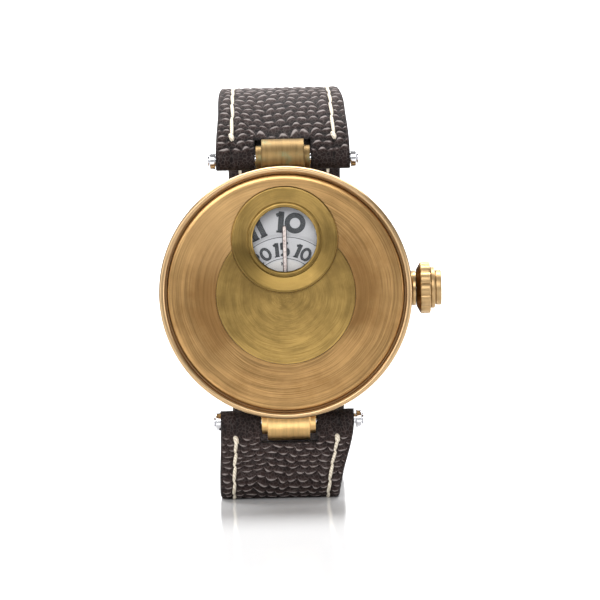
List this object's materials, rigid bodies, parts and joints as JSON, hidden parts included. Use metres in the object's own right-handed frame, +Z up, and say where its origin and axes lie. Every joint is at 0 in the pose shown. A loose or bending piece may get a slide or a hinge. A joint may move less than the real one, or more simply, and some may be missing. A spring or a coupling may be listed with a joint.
{
  "type": "wristwatch",
  "caption": "Round bronze wristwatch that shows the time on turning discs behind a small window, on a scaled leather strap buckled in a loop and standing on it.",
  "frame": {"origin": "on the ground, under the middle of the flat foot that the closed strap stands on", "axes": "+Z up along the dial from the lower bar to the upper one, -Y out of the dial towards the reader, +X towards the crown"},
  "size_m": [0.0503, 0.0615, 0.0737],
  "materials": {
    "rim_bronze": "warm bronze, brushed round its axis",
    "dish_bronze": "darker pinkish bronze, circularly brushed",
    "yellow_brass": "yellow brass, brushed",
    "gilt_plate": "matt gilt",
    "polished_steel": "polished steel",
    "blued_steel": "blued steel",
    "silvered_disc": "matt silvered, with printed figures",
    "copper_wire": "pinkish metal wire",
    "clear_glass": "clear and polished",
    "brown_leather": "dark brown leather with a scaled grain",
    "black_rubber": "matt black"
  },
  "bodies": {
    "case": {"case_middle": "dish_bronze", "rim": "rim_bronze", "dial_dish": "dish_bronze", "brass_centre_disc": "yellow_brass", "window_ring": "yellow_brass", "window_crystal": "clear_glass", "crystal_gasket": "black_rubber", "pointer": "copper_wire", "case_back": "dish_bronze", "back_gasket": "black_rubber", "crown_tube": "rim_bronze", "crown_gasket": "black_rubber", "upper_lug": "dish_bronze", "lower_lug": "dish_bronze", "upper_bar": "polished_steel", "lower_bar": "polished_steel", "upper_bar_screw_left": "polished_steel", "upper_bar_screw_right": "polished_steel", "lower_bar_screw_left": "polished_steel", "lower_bar_screw_right": "polished_steel", "strap_upper": "brown_leather", "strap_lower": "brown_leather", "fixed_keeper": "brown_leather", "buckle_pin": "polished_steel", "movement_ring": "gilt_plate", "main_plate": "gilt_plate", "barrel_bridge": "gilt_plate", "train_bridge": "gilt_plate", "pallet_bridge": "gilt_plate", "balance_cock": "gilt_plate", "barrel_bridge_screw": "blued_steel", "train_bridge_screw": "blued_steel", "balance_cock_screw": "blued_steel", "hairspring": "blued_steel"},
    "seconds": {"fourth_wheel": "yellow_brass", "seconds_disc": "silvered_disc"},
    "third": {"third_wheel": "yellow_brass"},
    "centre": {"centre_wheel": "yellow_brass"},
    "barrel": {"barrel_drum": "yellow_brass", "barrel_cover": "yellow_brass", "mainspring": "blued_steel"},
    "escape": {"escape_wheel": "polished_steel"},
    "minutes": {"cannon_pinion": "polished_steel", "minute_disc": "silvered_disc"},
    "minute_work": {"minute_wheel": "yellow_brass"},
    "hours": {"hour_wheel": "yellow_brass", "hour_disc": "silvered_disc"},
    "castle": {"castle_wheel": "polished_steel"},
    "pinion": {"winding_pinion": "polished_steel"},
    "crown_wheel": {"crown_wheel": "polished_steel"},
    "ratchet": {"ratchet_wheel": "polished_steel", "barrel_arbor": "polished_steel"},
    "crown": {"crown": "rim_bronze", "winding_stem": "polished_steel"},
    "click": {"click_pawl": "polished_steel"},
    "balance": {"balance_wheel": "yellow_brass"},
    "fork": {"pallet_fork": "polished_steel"},
    "buckle": {"buckle_frame": "dish_bronze"},
    "tongue": {"buckle_tongue": "dish_bronze"},
    "keeper": {"free_keeper": "brown_leather"}
  },
  "joints": [
    {"name": "seconds_turn", "type": "hinge", "parent": "case", "child": "seconds", "pos_m": [0, -0.018, 0.038], "axis": [0, -1, 0], "continuous": true},
    {"name": "third_turn", "type": "hinge", "parent": "case", "child": "third", "pos_m": [-0.00558, -0.018, 0.03597], "axis": [0, -1, 0], "continuous": true},
    {"name": "centre_turn", "type": "hinge", "parent": "case", "child": "centre", "pos_m": [0, -0.018, 0.038], "axis": [0, -1, 0], "continuous": true},
    {"name": "barrel_turn", "type": "hinge", "parent": "case", "child": "barrel", "pos_m": [0.00391, -0.018, 0.04477], "axis": [0, -1, 0], "continuous": true},
    {"name": "escape_turn", "type": "hinge", "parent": "case", "child": "escape", "pos_m": [0.00203, -0.018, 0.03242], "axis": [0, -1, 0], "continuous": true},
    {"name": "minutes_turn", "type": "hinge", "parent": "case", "child": "minutes", "pos_m": [0, -0.018, 0.038], "axis": [0, -1, 0], "continuous": true},
    {"name": "minute_work_turn", "type": "hinge", "parent": "case", "child": "minute_work", "pos_m": [-0.004, -0.018, 0.038], "axis": [0, -1, 0], "continuous": true},
    {"name": "hours_turn", "type": "hinge", "parent": "case", "child": "hours", "pos_m": [0, -0.018, 0.038], "axis": [0, -1, 0], "continuous": true},
    {"name": "winding_turn", "type": "hinge", "parent": "case", "child": "castle", "pos_m": [0, -0.01934, 0.038], "axis": [1, 0, 0], "continuous": true},
    {"name": "pinion_turn", "type": "hinge", "parent": "case", "child": "pinion", "pos_m": [0, -0.01934, 0.038], "axis": [1, 0, 0], "continuous": true},
    {"name": "crown_wheel_turn", "type": "hinge", "parent": "case", "child": "crown_wheel", "pos_m": [0.01072, -0.018, 0.038], "axis": [0, -1, 0], "continuous": true},
    {"name": "ratchet_turn", "type": "hinge", "parent": "case", "child": "ratchet", "pos_m": [0.00391, -0.018, 0.04477], "axis": [0, -1, 0], "continuous": true},
    {"name": "crown_pull", "type": "slide", "parent": "castle", "child": "crown", "axis": [1, 0, 0], "range_m": [0, 0.001]},
    {"name": "click_swing", "type": "hinge", "parent": "case", "child": "click", "pos_m": [-0.00344, -0.018, 0.04674], "axis": [0, -1, 0], "range_deg": [0, 6], "stiffness_Nm_per_rad": 0.00001},
    {"name": "balance_swing", "type": "hinge", "parent": "case", "child": "balance", "pos_m": [0.00669, -0.018, 0.03003], "axis": [0, -1, 0], "range_deg": [-135, 135]},
    {"name": "fork_swing", "type": "hinge", "parent": "case", "child": "fork", "pos_m": [0.0047, -0.018, 0.03105], "axis": [0, -1, 0], "range_deg": [-4, 4]},
    {"name": "buckle_pivot", "type": "hinge", "parent": "case", "child": "buckle", "pos_m": [0, 0.031, 0.036], "axis": [1, 0, 0], "range_deg": [-1.2, 0]},
    {"name": "tongue_pivot", "type": "hinge", "parent": "case", "child": "tongue", "pos_m": [0, 0.031, 0.036], "axis": [1, 0, 0], "range_deg": [0, 8]},
    {"name": "keeper_slide", "type": "slide", "parent": "case", "child": "keeper", "axis": [0, 0, 1], "range_m": [-0.0016, 0.0025]}
  ],
  "couplings": [
    {"joint": "third_turn", "follows": "seconds_turn", "ratio": -0.13333},
    {"joint": "centre_turn", "follows": "seconds_turn", "ratio": 0.016667},
    {"joint": "barrel_turn", "follows": "seconds_turn", "ratio": -0.0027778},
    {"joint": "escape_turn", "follows": "seconds_turn", "ratio": -8},
    {"joint": "minute_work_turn", "follows": "minutes_turn", "ratio": -0.33333},
    {"joint": "hours_turn", "follows": "minutes_turn", "ratio": 0.083333},
    {"joint": "pinion_turn", "follows": "winding_turn", "ratio": 1},
    {"joint": "crown_wheel_turn", "follows": "winding_turn", "ratio": 0.625},
    {"joint": "ratchet_turn", "follows": "winding_turn", "ratio": -0.375},
    {"joint": "fork_swing", "follows": "balance_swing", "ratio": 0.02963}
  ]
}
